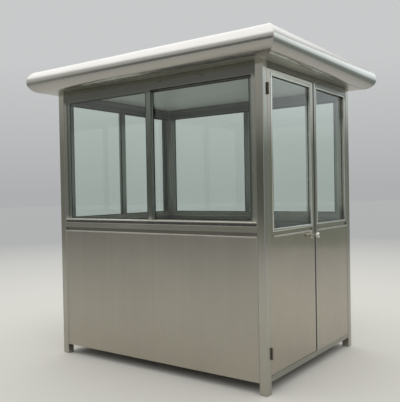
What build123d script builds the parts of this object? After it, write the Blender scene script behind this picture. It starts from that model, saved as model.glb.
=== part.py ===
from build123d import *
import math
import os

os.makedirs("parts", exist_ok=True)

# Security guard booth of stainless steel on four corner posts, in millimetres.
# X runs along the long front wall, -Y faces the front, +X faces the door side, +Z is up.
# The origin is on the ground below the middle of the booth.

# Footprint and height over the corner posts
booth_length = 2000.0
booth_depth = 1500.0
wall_height = 2230.0

# Corner posts: square tube, shut at the ground by a foot plate
post_size = 60.0
post_wall = 2.0
post_corner_radius = 5.0
foot_plate = 4.0

# Rails of rectangular tube between the posts
leg_gap = 80.0
base_rail_height = 40.0
sill_rail_height = 40.0
head_rail_height = 40.0
rail_wall = 2.0
rail_corner_radius = 3.0
rail_recess = 3.0

# Floor: a plate between the base rails, on joists
floor_thickness = 20.0
joist_width = 40.0
joist_height = 18.0
joist_count = 3
joist_wall = 2.0

# Lower wall panels: a folded outer skin in front of the base rail, and a shadow gap above
panel_top = 1060.0
panel_recess = 4.0
panel_skin = 2.0
shadow_gap_height = 25.0
shadow_gap_depth = 12.0
panel_edge_radius = 3.0

# Sliding window units of the front, back and left walls
window_recess = 5.0
window_frame_face = 32.0
window_head_face = 50.0
window_lip = 4.0
track_width = 18.0
track_divider = 6.0
track_floor = 3.0
sash_play = 0.5
sash_head_play = 4.0
sash_side_play = 2.0
sash_stile = 60.0
meeting_stile = 50.0
sash_rail = 35.0
sash_bevel = 5.0
glass_thickness = 5.0
glass_pocket = 10.0
glass_play = 0.3

# Door jamb post and the fixed light beside the door
jamb_place = 41.0
jamb_width = 39.0
stop_depth = 3.0
stop_reach = 20.0
side_light_sill_face = 23.0
side_light_head_face = 42.0
side_light_near_face = 8.0
side_light_far_face = 46.0
side_light_reach = 4.0
side_light_depth = 46.0
side_light_bevel = 4.0

# Door leaf
leaf_recess = 3.0
leaf_thickness = 40.0
leaf_hinge_gap = 5.0
leaf_lock_gap = 10.0
leaf_edge_gap = 5.0
leaf_corner_radius = 3.0
hinge_stile = 62.0
lock_stile = 50.0
top_rail = 36.0
light_bottom = 1100.0
bead_face = 7.0
bead_proud = 2.0
bead_bevel = 3.0
leaf_groove_height = 22.0
leaf_groove_depth = 6.0

# Butt hinges with pins
lowest_hinge_rise = 148.0
highest_hinge_drop = 140.0
hinge_length = 80.0
knuckle_radius = 7.0
pin_radius = 4.0
pin_clearance = 0.05
knuckle_gap = 0.3
pin_offset = 9.0
hinge_leaf_thickness = 2.5

# Knob lock
knob_rise = 898.0
knob_backset = 62.0
rose_radius = 30.0
rose_thickness = 8.0
rose_bevel = 4.0
knob_radius = 23.0
knob_face_radius = 8.0
knob_length = 34.0
knob_reach = 67.0
neck_radius = 9.0
neck_clearance = 0.05
lock_case_height = 110.0
lock_case_depth = 80.0
lock_case_thickness = 18.0
lock_plate_width = 22.0
lock_plate_height = 140.0
flare_steps = 2
crown_steps = 3
spindle_hole_radius = 11.0
spindle_width = 8.0

# Roof with a half-round edge
roof_overhang = 187.0
edge_radius = 93.0
sheet = 2.0
edge_flange = 50.0
mitre_gap = 0.6
deck_thickness = 16.0
deck_crown = 20.0
crown_inset = 500.0
core_overhang = 60.0
ceiling_thickness = 8.0

# Levels and places worked out from the sizes above
base_rail_top = leg_gap + base_rail_height
sill_rail_bottom = panel_top + shadow_gap_height
sill_rail_top = sill_rail_bottom + sill_rail_height
head_rail_bottom = wall_height - head_rail_height
rail_depth = post_size - 2 * rail_recess
panel_back = post_size - panel_recess
roof_top = wall_height + 2 * edge_radius
front_run = booth_length - 2 * post_size
side_run = booth_depth - 2 * post_size
door_side_post = -side_run / 2
far_side_post = side_run / 2
jamb_back = jamb_place + jamb_width

# How far each wall's outer plane lies from the middle, and the turn that brings the front wall there
walls = {
    "front": (booth_depth / 2, 0, front_run),
    "right": (booth_length / 2, 90, side_run),
    "back": (booth_depth / 2, 180, front_run),
    "left": (booth_length / 2, -90, side_run),
}
window_walls = ("front", "back", "left")


def place(shape, wall):
    """Moves a shape drawn at the origin as a front wall to the wall that it belongs to.

    A wall is drawn with its outer plane at y = 0, the inside towards +Y, and x = 0 in its middle.
    """
    distance, turn, _ = walls[wall]
    return Rot(0, 0, turn) * Pos(0, -distance, 0) * shape


def block(x_low, x_high, y_low, y_high, z_low, z_high):
    """A plain block between two corners."""
    centre = Pos((x_low + x_high) / 2, (y_low + y_high) / 2, (z_low + z_high) / 2)
    return centre * Box(x_high - x_low, y_high - y_low, z_high - z_low)


def tube_section(width, height, wall, radius):
    """The section of a rectangular tube with rounded corners."""
    outside = RectangleRounded(width, height, radius)
    inside = Rectangle(width - 2 * wall, height - 2 * wall)
    return outside - inside


def tube_along_x(x_low, x_high, y_low, y_high, z_low, z_high, wall, radius):
    """A rectangular tube that fills the space between two corners and runs along X."""
    section = tube_section(y_high - y_low, z_high - z_low, wall, radius)
    start = Plane((x_low, (y_low + y_high) / 2, (z_low + z_high) / 2), x_dir=(0, 1, 0), z_dir=(1, 0, 0))
    return extrude(start * section, amount=x_high - x_low)


def tube_along_z(x_low, x_high, y_low, y_high, z_low, z_high, wall, radius):
    """A rectangular tube that fills the space between two corners and stands upright."""
    section = tube_section(x_high - x_low, y_high - y_low, wall, radius)
    return Pos((x_low + x_high) / 2, (y_low + y_high) / 2, z_low) * extrude(section, amount=z_high - z_low)


def along_x(outline, x_low, x_high):
    """Runs a closed outline, given as (y, z) points, along X."""
    face = Plane.YZ * make_face(Polyline(*outline, close=True))
    return Pos(x_low, 0, 0) * extrude(face, amount=x_high - x_low)


def corner_post(x_side, y_side):
    """A square tube from the ground to the roof, with a welded foot plate inside its end."""
    length = wall_height
    tube = extrude(tube_section(post_size, post_size, post_wall, post_corner_radius), amount=length)
    inner = post_size - 2 * post_wall
    foot = Pos(0, 0, foot_plate / 2) * Box(inner, inner, foot_plate)
    x = x_side * (booth_length - post_size) / 2
    y = y_side * (booth_depth - post_size) / 2
    return Pos(x, y, 0) * (tube + foot)


def rail(wall, z_low, z_high):
    """A horizontal tube between two posts of one wall."""
    half_run = walls[wall][2] / 2
    tube = tube_along_x(-half_run, half_run, rail_recess, rail_recess + rail_depth, z_low, z_high,
                        rail_wall, rail_corner_radius)
    return place(tube, wall)


def wall_panel(x_low, x_high, skirt_bottom):
    """A lower wall panel: core between base rail and window, outer skin down over the base rail.

    The skin stops below a shadow gap, and its top edge is rolled over with a small radius.
    """
    core_face = panel_recess + panel_skin
    outline = [
        (panel_recess, skirt_bottom),
        (panel_recess, panel_top),
        (panel_recess + shadow_gap_depth, panel_top),
        (panel_recess + shadow_gap_depth, sill_rail_bottom),
        (panel_back, sill_rail_bottom),
        (panel_back, base_rail_top),
        (core_face, base_rail_top),
        (core_face, skirt_bottom),
    ]
    if skirt_bottom >= base_rail_top:
        outline = outline[:6]
    panel = along_x(outline, x_low, x_high)
    top_edge = panel.edges().filter_by(Axis.X).sort_by_distance(((x_low + x_high) / 2, panel_recess, panel_top))[0]
    return fillet(top_edge, panel_edge_radius)


def base_rail(wall):
    """The base rail, set back behind the panel skin where a skin covers it."""
    half_run = walls[wall][2] / 2
    front = rail_recess if wall == "right" else panel_recess + panel_skin
    tube = tube_along_x(-half_run, half_run, front, rail_recess + rail_depth, leg_gap, base_rail_top,
                        rail_wall, rail_corner_radius)
    return place(tube, wall)


def window_frame(run):
    """The outer frame of a sliding window, with an outer and an inner track all round."""
    depth = 2 * window_lip + 2 * track_width + track_divider
    low, high = sill_rail_top, head_rail_bottom
    half = run / 2
    body = block(-half, half, window_recess, window_recess + depth, low, high)
    body -= block(-half + window_frame_face, half - window_frame_face, 0, post_size,
                  low + window_frame_face, high - window_head_face)
    for track in range(2):
        start = track_start(track)
        body -= block(-half + track_floor, half - track_floor, start, start + track_width,
                      low + track_floor, track_ceiling())
    return body


def track_start(track):
    """How deep the outer (0) or inner (1) track begins."""
    return window_recess + window_lip + track * (track_width + track_divider)


def track_ceiling():
    """The top of both tracks, below the solid part of the window head."""
    return head_rail_bottom - window_head_face + window_frame_face - track_floor


def sash_span(run, side):
    """The two ends of a sash: side is -1 for the left one, seen from outside, and 1 for the right one."""
    outer_end = run / 2 - track_floor - sash_side_play
    meeting_end = meeting_stile / 2
    return (-outer_end, meeting_end) if side < 0 else (-meeting_end, outer_end)


def sash_light(run, side):
    """The two ends of the opening between a sash's outer stile and its meeting stile."""
    x_low, x_high = sash_span(run, side)
    if side < 0:
        return x_low + sash_stile, x_high - meeting_stile
    return x_low + meeting_stile, x_high - sash_stile


def sash_levels():
    """The foot of a sash on its track and the top of it."""
    return sill_rail_top + track_floor, track_ceiling() - sash_head_play


def window_sash(run, side):
    """One sliding sash: bevelled stiles and rails round a glazing pocket."""
    track = 0 if side < 0 else 1
    front = track_start(track) + sash_play
    back = track_start(track) + track_width - sash_play
    x_low, x_high = sash_span(run, side)
    light_low, light_high = sash_light(run, side)
    z_low, z_high = sash_levels()
    sash = block(x_low, x_high, front, back, z_low, z_high)
    opening = Rectangle(light_high - light_low, z_high - z_low - 2 * sash_rail)
    middle = ((light_low + light_high) / 2, (front + back) / 2, (z_low + z_high) / 2)
    sash -= bevelled_opening(opening, middle, back - front, sash_bevel)
    pocket = glass_thickness + 2 * glass_play
    sash -= block(light_low - glass_pocket, light_high + glass_pocket,
                  middle[1] - pocket / 2, middle[1] + pocket / 2,
                  z_low + sash_rail - glass_pocket, z_high - sash_rail + glass_pocket)
    return sash


def bevelled_opening(opening, middle, depth, bevel):
    """A cutter for an opening through the wall whose front and back edges are bevelled."""
    plane = Plane(middle, x_dir=(1, 0, 0), z_dir=(0, -1, 0))
    cutter = extrude(plane * opening, amount=depth / 2, both=True)
    wide = offset(opening, amount=bevel, kind=Kind.INTERSECTION)
    for direction in (1, -1):
        face_plane = plane.offset(direction * depth / 2)
        deep_plane = plane.offset(direction * (depth / 2 - bevel))
        cutter += loft([deep_plane * opening, face_plane * wide], ruled=True)
    return cutter


def sash_glass(run, side):
    """The pane of one sash, standing on the foot of its glazing pocket."""
    track = 0 if side < 0 else 1
    middle = track_start(track) + track_width / 2
    light_low, light_high = sash_light(run, side)
    z_low, z_high = sash_levels()
    inset = glass_pocket - glass_play
    return block(light_low - inset, light_high + inset, middle - glass_thickness / 2, middle + glass_thickness / 2,
                 z_low + sash_rail - glass_pocket, z_high - sash_rail + glass_pocket - glass_play)


def door_jamb():
    """The upright between door and fixed light, with a stop lip behind the leaf's edge."""
    jamb = tube_along_z(jamb_place, jamb_back, rail_recess, rail_recess + rail_depth,
                        base_rail_top, head_rail_bottom, rail_wall, rail_corner_radius)
    lip_front = leaf_recess + leaf_thickness + leaf_edge_gap
    lip_back = lip_front + stop_depth
    lip = block(jamb_place - stop_reach, jamb_place, lip_front, lip_back, base_rail_top, head_rail_bottom)
    return place(jamb + lip, "right")


def side_light_frame():
    """The fixed frame beside the door, with bevelled edges and a glazing pocket."""
    low, high = sill_rail_bottom, head_rail_bottom
    front = rail_recess
    frame = block(jamb_back, far_side_post, front, front + side_light_depth, low, high)
    width, height = side_light_opening()
    middle = side_light_middle()
    frame -= bevelled_opening(Rectangle(width, height), middle, side_light_depth, side_light_bevel)
    pocket = glass_thickness + 2 * glass_play
    frame -= block(middle[0] - width / 2 - side_light_reach, middle[0] + width / 2 + side_light_reach,
                   middle[1] - pocket / 2, middle[1] + pocket / 2,
                   middle[2] - height / 2 - side_light_reach, middle[2] + height / 2 + side_light_reach)
    return place(frame, "right")


def side_light_opening():
    """The width and height of the fixed light's opening."""
    width = far_side_post - jamb_back - side_light_near_face - side_light_far_face
    height = head_rail_bottom - sill_rail_bottom - side_light_sill_face - side_light_head_face
    return width, height


def side_light_middle():
    """The middle of the fixed light's opening."""
    width, height = side_light_opening()
    low = sill_rail_bottom + side_light_sill_face
    return (jamb_back + side_light_near_face + width / 2, rail_recess + side_light_depth / 2, low + height / 2)


def side_light_glass():
    """The pane of the fixed light, standing on the foot of its pocket."""
    x, y, z = side_light_middle()
    width, height = side_light_opening()
    half_width = width / 2 + side_light_reach - glass_play
    half_height = height / 2 + side_light_reach
    pane = block(x - half_width, x + half_width, y - glass_thickness / 2, y + glass_thickness / 2,
                 z - half_height, z + half_height - glass_play)
    return place(pane, "right")


# Place of the door leaf in its opening
leaf_low_x = door_side_post + leaf_hinge_gap
leaf_high_x = jamb_place - leaf_lock_gap
leaf_bottom = base_rail_top + leaf_edge_gap
leaf_top = head_rail_bottom - leaf_edge_gap
leaf_back = leaf_recess + leaf_thickness
leaf_middle = leaf_recess + leaf_thickness / 2
light_low_x = leaf_low_x + hinge_stile
light_high_x = leaf_high_x - lock_stile
light_top = leaf_top - top_rail
knob_x = leaf_high_x - knob_backset
knob_height = leaf_bottom + knob_rise
hinge_heights = (leaf_bottom + lowest_hinge_rise, leaf_top - highest_hinge_drop)
hinge_x = door_side_post + leaf_hinge_gap / 2
hinge_y = leaf_recess - pin_offset


def door_leaf():
    """The pressed door leaf with its window cut-out, shadow groove, lock mortise and spindle bore."""
    leaf = block(leaf_low_x, leaf_high_x, leaf_recess, leaf_back, leaf_bottom, leaf_top)
    leaf = fillet(leaf.edges().filter_by(Axis.Z), leaf_corner_radius)
    leaf -= block(light_low_x, light_high_x, 0, post_size, light_bottom, light_top)
    for y_low in (leaf_recess, leaf_back - leaf_groove_depth):
        leaf -= block(light_low_x, light_high_x, y_low, y_low + leaf_groove_depth,
                      panel_top, panel_top + leaf_groove_height)
    leaf -= block(leaf_high_x - lock_case_depth, leaf_high_x,
                  leaf_middle - lock_case_thickness / 2, leaf_middle + lock_case_thickness / 2,
                  knob_height - lock_case_height / 2, knob_height + lock_case_height / 2)
    leaf -= block(leaf_high_x - sheet, leaf_high_x,
                  leaf_middle - lock_plate_width / 2, leaf_middle + lock_plate_width / 2,
                  knob_height - lock_plate_height / 2, knob_height + lock_plate_height / 2)
    leaf -= knob_axis_cylinder(spindle_hole_radius, 0, post_size)
    return place(leaf, "right")


def knob_axis_cylinder(radius, y_low, y_high):
    """A cylinder on the knob's axis between two depths."""
    return Pos(knob_x, (y_low + y_high) / 2, knob_height) * Rot(90, 0, 0) * Cylinder(radius, y_high - y_low)


def door_glass_beads():
    """The bevelled bead that holds the door's pane, inside and outside as one ring."""
    low, high = light_bottom, light_top
    front = leaf_recess - bead_proud
    depth = leaf_thickness + 2 * bead_proud
    ring = block(light_low_x, light_high_x, front, front + depth, low, high)
    width = light_high_x - light_low_x - 2 * bead_face
    height = high - low - 2 * bead_face
    middle = ((light_low_x + light_high_x) / 2, front + depth / 2, (low + high) / 2)
    ring -= bevelled_opening(Rectangle(width, height), middle, depth, bead_bevel)
    pocket = glass_thickness + 2 * glass_play
    reach = bead_face / 2
    ring -= block(middle[0] - width / 2 - reach, middle[0] + width / 2 + reach,
                  middle[1] - pocket / 2, middle[1] + pocket / 2,
                  middle[2] - height / 2 - reach, middle[2] + height / 2 + reach)
    return place(ring, "right")


def door_glass():
    """The door's pane, standing on the foot of the bead's pocket."""
    reach = bead_face / 2
    pane = block(light_low_x + reach + glass_play, light_high_x - reach - glass_play,
                 leaf_middle - glass_thickness / 2, leaf_middle + glass_thickness / 2,
                 light_bottom + reach, light_top - reach - glass_play)
    return place(pane, "right")


def hinge_knuckle(z_low, z_high):
    """One knuckle of a butt hinge."""
    return Pos(hinge_x, hinge_y, (z_low + z_high) / 2) * Cylinder(knuckle_radius, z_high - z_low)


def post_hinges():
    """The fixed halves on the post: outer knuckles with the pin through all three."""
    solids = []
    for height in hinge_heights:
        low, high = height - hinge_length / 2, height + hinge_length / 2
        third = hinge_length / 3
        half = hinge_knuckle(low, low + third) + hinge_knuckle(high - third, high)
        half += Pos(hinge_x, hinge_y, height) * Cylinder(pin_radius, hinge_length)
        for z_low in (low, high - third):
            half += block(door_side_post, hinge_x, hinge_y - hinge_leaf_thickness / 2,
                          leaf_recess + hinge_leaf_thickness, z_low, z_low + third)
        solids.append(place(half, "right"))
    return Compound(children=solids)


def leaf_hinges():
    """The moving halves on the leaf: the middle knuckle and its flat beside the leaf's edge."""
    solids = []
    for height in hinge_heights:
        half_length = hinge_length / 6 - knuckle_gap
        low, high = height - half_length, height + half_length
        half = block(hinge_x, leaf_low_x, hinge_y - hinge_leaf_thickness / 2,
                     leaf_recess + leaf_thickness / 2, low, high)
        half += hinge_knuckle(low, high)
        half -= Pos(hinge_x, hinge_y, height) * Cylinder(pin_radius + pin_clearance, hinge_length)
        solids.append(place(half, "right"))
    return Compound(children=solids)


def lock_roses():
    """The round cover plates on both faces of the leaf, bored for the knob's neck."""
    outside = rose(leaf_recess, -1)
    inside = rose(leaf_back, 1)
    return Compound(children=[place(outside, "right"), place(inside, "right")])


def rose(face_y, direction):
    """A domed cover plate on one face of the leaf: direction is -1 outside and 1 inside."""
    bore = neck_radius + neck_clearance
    bevel = ((rose_radius, rose_thickness - rose_bevel), (rose_radius - rose_bevel, rose_thickness))
    face = make_face(Polyline((bore, 0), (rose_radius, 0), *bevel, (bore, rose_thickness), close=True))
    plate = revolve(Plane.XZ * face, Axis.Z)
    return Pos(knob_x, face_y, knob_height) * Rot(-90 * direction, 0, 0) * plate


def arc_points(centre, radius_x, radius_y, first_angle, last_angle, steps):
    """Points at even angles, in degrees, on an ellipse round a centre."""
    points = []
    for step in range(steps + 1):
        angle = math.radians(first_angle + (last_angle - first_angle) * step / steps)
        points.append((centre[0] + radius_x * math.cos(angle), centre[1] + radius_y * math.sin(angle)))
    return points


def knob_profile():
    """Half the section of a knob along its axis: neck, hollow flare up to the rim, and domed crown."""
    rim = knob_reach - knob_length / 2
    head_start = knob_reach - knob_length
    flare = arc_points((knob_radius, head_start), knob_radius - neck_radius, knob_length / 2, 180, 90, flare_steps)
    crown = arc_points((knob_face_radius, rim), knob_radius - knob_face_radius, knob_length / 2, 0, 90, crown_steps)
    return make_face(Polyline((0, 0), (neck_radius, 0), *flare, *crown[1:], (0, knob_reach), close=True))


def knob(face_y, direction):
    """A turned knob that stands on one face of the leaf: direction is -1 outside and 1 inside."""
    turned = revolve(Plane.XZ * knob_profile(), Axis.Z)
    return Pos(knob_x, face_y, knob_height) * Rot(-90 * direction, 0, 0) * turned


def door_knobs():
    """The outside and the inside knob with the square spindle through the lock that joins them."""
    half = spindle_width / 2
    spindle = block(knob_x - half, knob_x + half, leaf_recess, leaf_back, knob_height - half, knob_height + half)
    return place(knob(leaf_recess, -1) + spindle + knob(leaf_back, 1), "right")


def lock_case():
    """The mortise case with its edge plate, open round the spindle."""
    case = block(leaf_high_x - lock_case_depth, leaf_high_x - sheet,
                 leaf_middle - lock_case_thickness / 2, leaf_middle + lock_case_thickness / 2,
                 knob_height - lock_case_height / 2, knob_height + lock_case_height / 2)
    case += block(leaf_high_x - sheet, leaf_high_x,
                  leaf_middle - lock_plate_width / 2, leaf_middle + lock_plate_width / 2,
                  knob_height - lock_plate_height / 2, knob_height + lock_plate_height / 2)
    case -= knob_axis_cylinder(spindle_hole_radius, 0, post_size)
    return place(case, "right")


def lip_region(wall):
    """The plan of one roof edge between its two mitres."""
    distance, _, run = walls[wall]
    half = run / 2 + post_size + roof_overhang - mitre_gap / 2
    depth = roof_overhang + post_size
    plan = Polyline((-half, -roof_overhang), (half, -roof_overhang), (half - depth, depth - roof_overhang),
                    (-half + depth, depth - roof_overhang), close=True)
    return extrude(Pos(0, 0, wall_height) * make_face(plan), amount=roof_top - wall_height)


def roof_edge(wall):
    """One side of the rolled roof edge: a half-round sheet with a top flange, mitred at both ends."""
    outer = edge_radius
    inner = edge_radius - sheet
    centre_y = -(roof_overhang - edge_radius)
    centre_z = wall_height + edge_radius
    round_outer = ThreePointArc((centre_y, centre_z - outer), (centre_y - outer, centre_z), (centre_y, centre_z + outer))
    round_inner = ThreePointArc((centre_y, centre_z + inner), (centre_y - inner, centre_z), (centre_y, centre_z - inner))
    flange_end = centre_y + edge_flange
    flange = Polyline((centre_y, centre_z + outer), (flange_end, centre_z + outer),
                      (flange_end, centre_z + inner), (centre_y, centre_z + inner))
    foot = Line((centre_y, centre_z - inner), (centre_y, centre_z - outer))
    section = Plane.YZ * make_face(Curve() + round_outer + flange + round_inner + foot)
    half = walls[wall][2] / 2 + post_size + roof_overhang
    strip = Pos(-half, 0, 0) * extrude(section, amount=2 * half)
    return place(strip & lip_region(wall), wall)


def roof_soffit():
    """The sheet that closes the roof from below, from edge to edge, on posts and head rails."""
    reach = roof_overhang - edge_radius
    return block(-booth_length / 2 - reach, booth_length / 2 + reach, -booth_depth / 2 - reach,
                 booth_depth / 2 + reach, wall_height, wall_height + sheet)


def roof_core():
    """The closed body of the roof between soffit and deck."""
    half_x = booth_length / 2 + core_overhang
    half_y = booth_depth / 2 + core_overhang
    return block(-half_x, half_x, -half_y, half_y, wall_height + sheet, roof_top - sheet - deck_thickness)


def roof_deck():
    """The deck under the edge flanges, with a low hipped crown that sheds water."""
    reach = roof_overhang - edge_radius
    flange_bottom = roof_top - sheet
    deck = block(-booth_length / 2 - reach, booth_length / 2 + reach, -booth_depth / 2 - reach,
                 booth_depth / 2 + reach, flange_bottom - deck_thickness, flange_bottom)
    crown_length = booth_length + 2 * (reach - edge_flange)
    crown_depth = booth_depth + 2 * (reach - edge_flange)
    deck += Pos(0, 0, flange_bottom + sheet / 2) * Box(crown_length, crown_depth, sheet)
    crown = crown_prism(crown_length, crown_depth) & Rot(0, 0, 90) * crown_prism(crown_depth, crown_length)
    return deck + crown


def crown_prism(length, depth):
    """A low prism with two slopes that face the ends of its length."""
    low, high = length / 2, length / 2 - crown_inset
    slope = Polyline((-low, roof_top), (low, roof_top), (high, roof_top + deck_crown), (-high, roof_top + deck_crown),
                     close=True)
    return extrude(Plane.XZ * make_face(slope), amount=depth / 2, both=True)


def ceiling():
    """The lining under the soffit, between the posts."""
    half_x = booth_length / 2 - post_size
    half_y = booth_depth / 2 - post_size
    return block(-half_x, half_x, -half_y, half_y, wall_height - ceiling_thickness, wall_height)


def floor_plate():
    """The floor between the base rails, level with their tops, notched round the posts."""
    half_x = booth_length / 2 - rail_recess - rail_depth
    half_y = booth_depth / 2 - rail_recess - rail_depth
    plate = block(-half_x, half_x, -half_y, half_y, base_rail_top - floor_thickness, base_rail_top)
    post_x = (booth_length - post_size) / 2
    post_y = (booth_depth - post_size) / 2
    for x_side in (-1, 1):
        for y_side in (-1, 1):
            plate -= Pos(x_side * post_x, y_side * post_y, base_rail_top) * Box(post_size, post_size, post_size)
    return plate


def floor_joists():
    """Tubes from the front to the back base rail that carry the floor."""
    half_y = booth_depth / 2 - rail_recess - rail_depth
    pitch = front_run / (joist_count + 1)
    top = base_rail_top - floor_thickness
    joists = []
    for number in range(joist_count):
        x = -front_run / 2 + pitch * (number + 1)
        tube = tube_along_x(-half_y, half_y, -joist_width / 2, joist_width / 2, top - joist_height, top,
                            joist_wall, rail_corner_radius)
        joists.append(Pos(x, 0, 0) * Rot(0, 0, 90) * tube)
    return Compound(children=joists)


nodes = {}

for y_name, y_side in (("front", -1), ("back", 1)):
    for x_name, x_side in (("left", -1), ("right", 1)):
        nodes[f"corner_post_{y_name}_{x_name}"] = corner_post(x_side, y_side)

for wall_name in walls:
    nodes[f"roof_edge_{wall_name}"] = roof_edge(wall_name)

nodes["base_rails"] = Compound(children=[base_rail(name) for name in walls])
nodes["head_rails"] = Compound(children=[rail(name, head_rail_bottom, wall_height) for name in walls])
nodes["sill_rails"] = Compound(children=[rail(name, sill_rail_bottom, sill_rail_top) for name in window_walls])

for wall_name in window_walls:
    wall_run = walls[wall_name][2]
    nodes[f"wall_panel_{wall_name}"] = place(wall_panel(-wall_run / 2, wall_run / 2, leg_gap), wall_name)
    nodes[f"window_frame_{wall_name}"] = place(window_frame(wall_run), wall_name)
    nodes[f"window_sash_{wall_name}_left"] = place(window_sash(wall_run, -1), wall_name)
    nodes[f"window_sash_{wall_name}_right"] = place(window_sash(wall_run, 1), wall_name)
    panes = [place(sash_glass(wall_run, side), wall_name) for side in (-1, 1)]
    nodes[f"window_glass_{wall_name}"] = Compound(children=panes)

nodes["wall_panel_beside_door"] = place(wall_panel(jamb_back, far_side_post, base_rail_top), "right")
nodes["door_jamb"] = door_jamb()
nodes["side_light_frame"] = side_light_frame()
nodes["side_light_glass"] = side_light_glass()
nodes["door_leaf"] = door_leaf()
nodes["door_glass_bead"] = door_glass_beads()
nodes["door_glass"] = door_glass()
nodes["door_hinges_on_post"] = post_hinges()
nodes["door_hinges_on_leaf"] = leaf_hinges()
nodes["door_lock_case"] = lock_case()
nodes["door_lock_roses"] = lock_roses()
nodes["floor_plate"] = floor_plate()
nodes["floor_joists"] = floor_joists()
nodes["ceiling_panel"] = ceiling()
nodes["roof_soffit"] = roof_soffit()
nodes["roof_core"] = roof_core()
nodes["roof_deck"] = roof_deck()
nodes["door_knobs"] = door_knobs()

for name, shape in nodes.items():
    export_step(shape, f"parts/{name}.step")
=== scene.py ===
"""Looks of a stainless steel security guard booth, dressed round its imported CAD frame.

Everything is in metres in the frame of the CAD model: X along the long front wall, the front faces -Y,
the door wall faces +X and Z is up. The CAD nodes keep their shapes and get brushed steel, glass, lining
and board finishes. Turned knobs, rolled roof edges, glass seals, weld beads and small fixings are new
surfaces, worked out with numpy.
"""
import logging
from dataclasses import dataclass
from enum import Enum
from functools import cache
from math import cos, radians, sin

import bpy
import numpy as np
from mathutils import Matrix, Vector


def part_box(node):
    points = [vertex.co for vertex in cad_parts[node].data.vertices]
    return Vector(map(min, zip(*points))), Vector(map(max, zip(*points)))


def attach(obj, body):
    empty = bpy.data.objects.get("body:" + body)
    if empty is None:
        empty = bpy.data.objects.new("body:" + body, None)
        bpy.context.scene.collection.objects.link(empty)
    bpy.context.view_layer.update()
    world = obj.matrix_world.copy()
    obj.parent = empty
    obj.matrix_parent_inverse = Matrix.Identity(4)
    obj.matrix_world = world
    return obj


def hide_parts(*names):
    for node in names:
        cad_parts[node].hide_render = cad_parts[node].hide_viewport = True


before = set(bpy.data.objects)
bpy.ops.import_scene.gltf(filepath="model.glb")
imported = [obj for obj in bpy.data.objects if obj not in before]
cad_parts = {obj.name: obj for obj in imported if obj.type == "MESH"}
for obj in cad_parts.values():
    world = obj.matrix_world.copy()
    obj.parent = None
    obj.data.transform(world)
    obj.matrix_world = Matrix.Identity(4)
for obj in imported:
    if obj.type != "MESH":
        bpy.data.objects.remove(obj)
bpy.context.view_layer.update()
LOG = logging.getLogger("guard_booth")
NEAR_POST_LOW, NEAR_POST_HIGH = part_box("corner_post_front_right")
HALF_LENGTH, HALF_DEPTH = NEAR_POST_HIGH[0], -NEAR_POST_LOW[1]
HALF_LONG_RUN, HALF_SHORT_RUN = NEAR_POST_LOW[0], -NEAR_POST_HIGH[1]
LEAF_LOW, LEAF_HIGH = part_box("door_leaf")
PLATES_LOW, PLATES_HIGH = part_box("door_lock_roses")
EDGE_LOW, EDGE_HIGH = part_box("roof_edge_front")
ALONG, DEEP, UP = np.eye(3)
NOISE_SPAN, WIDE_SPAN = (0.35, 0.65), (0.3, 0.7)  # where most values of a noise lie, and nearly all

Pair = tuple[float, float]
Triple = tuple[float, float, float]
Colour = tuple[int, int, int]
Opening = tuple[Pair, Pair]
Faces = list[list[int]]
Shell = tuple[np.ndarray, Faces]
Socket = bpy.types.NodeSocket


class Wall(Enum):
    """The four walls, by where their outer planes stand and how long they are."""

    FRONT = (HALF_DEPTH, 0.0, HALF_LONG_RUN, HALF_LENGTH)
    RIGHT = (HALF_LENGTH, 90.0, HALF_SHORT_RUN, HALF_DEPTH)
    BACK = (HALF_DEPTH, 180.0, HALF_LONG_RUN, HALF_LENGTH)
    LEFT = (HALF_LENGTH, -90.0, HALF_SHORT_RUN, HALF_DEPTH)

    def __init__(self, distance: float, turn: float, half_run: float, half_length: float) -> None:
        """Keeps the measures of a wall.

        Args:
            distance: How far the outer plane lies from the middle.
            turn: The turn from the front wall about Z, in degrees.
            half_run: Half the clear run between the wall's two posts.
            half_length: Half the length of the wall with its posts.
        """
        self.distance, self.turn, self.half_run, self.half_length = distance, turn, half_run, half_length

    @property
    def key(self) -> str:
        """The word for this wall in the names of nodes and pieces."""
        return self.name.lower()

    def depth_of(self, node: str) -> float:
        """How far the outer face of a node of the door wall lies behind the wall's plane."""
        return self.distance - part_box(node)[1][0]


WINDOW_WALLS = (Wall.FRONT, Wall.BACK, Wall.LEFT)


class Grain(Enum):
    """The way the brushing of a steel sheet runs."""

    UPRIGHT = "upright"
    LEVEL = "level"
    PLAIN = "plain"


# Surfaces as arrays

def xyz(x: np.ndarray | float, y: np.ndarray | float, z: np.ndarray | float) -> np.ndarray:
    """Points from three arrays or numbers, each spread over the others' shapes."""
    return np.stack(np.broadcast_arrays(x, y, z), axis=-1)


def place_on_wall(points: np.ndarray, wall: Wall) -> np.ndarray:
    """Takes points drawn on a front wall at the origin to their own wall.

    The formula shifts y outwards by the wall's distance and then turns (x, y) about Z by the wall's turn.

    Args:
        points: Array of (..., 3) points with the outer plane at y = 0.
        wall: The wall that they belong to.

    Returns:
        The points in the booth's frame.
    """
    cosine, sine = cos(radians(wall.turn)), sin(radians(wall.turn))
    x, y, z = points[..., 0], points[..., 1] - wall.distance, points[..., 2]
    return xyz(cosine * x - sine * y, sine * x + cosine * y, z)


def grid_quads(rows: int, columns: int, wrap_rows: bool, wrap_columns: bool) -> Faces:
    """Quads between neighbours of a rows by columns grid of points, numbered row by row.

    Args:
        rows: Number of rows in the grid.
        columns: Number of columns in the grid.
        wrap_rows: True where the last row joins the first.
        wrap_columns: True where the last column joins the first.

    Returns:
        Lists of four point numbers.
    """
    own = np.arange(rows * columns).reshape(rows, columns)
    beside, below = np.roll(own, -1, axis=1), np.roll(own, -1, axis=0)
    corners = np.stack((own, beside, np.roll(below, -1, axis=1), below), axis=-1)
    return corners[:rows - (not wrap_rows), :columns - (not wrap_columns)].reshape(-1, 4).tolist()


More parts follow.
